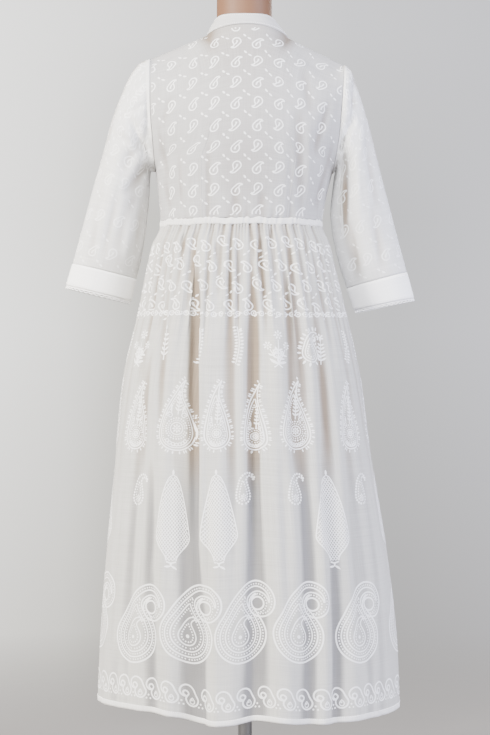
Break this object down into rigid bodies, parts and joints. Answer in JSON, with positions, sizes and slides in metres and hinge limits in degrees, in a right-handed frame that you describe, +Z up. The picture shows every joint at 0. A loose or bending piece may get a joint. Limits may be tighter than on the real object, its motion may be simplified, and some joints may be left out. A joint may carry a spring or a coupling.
{
  "type": "anarkali gown on a dress form",
  "caption": "Long gathered cotton gown with fitted bodice, band collar and flared three-quarter sleeves, on a limbless dress form with a round stand.",
  "frame": {"origin": "centre of the round base's underside, on the floor", "axes": "+Z up, -Y towards the gown's back, -X towards its left side as seen from behind"},
  "size_m": [0.6321, 0.4989, 1.53],
  "materials": {
    "cotton": "fine semi-sheer white cotton voile, block printed in opaque white",
    "cotton_bands": "the same cotton in several layers, plain",
    "shell_buttons": "soft gloss",
    "form_cover": "smooth, matte tan",
    "stand_steel": "satin grey"
  },
  "bodies": {
    "root": {"bodice_back": "cotton", "bodice_front": "cotton", "skirt_back": "cotton", "skirt_front": "cotton", "sleeve_left": "cotton", "sleeve_right": "cotton", "cuff_band_left": "cotton_bands", "cuff_band_right": "cotton_bands", "cuff_lace_left": "cotton_bands", "cuff_lace_right": "cotton_bands", "collar_band": "cotton_bands", "waist_piping": "cotton_bands", "front_placket": "cotton_bands", "button_1": "shell_buttons", "button_2": "shell_buttons", "button_3": "shell_buttons", "button_4": "shell_buttons", "form_torso": "form_cover", "stand_pole": "stand_steel", "stand_base": "stand_steel"}
  },
  "joints": []
}
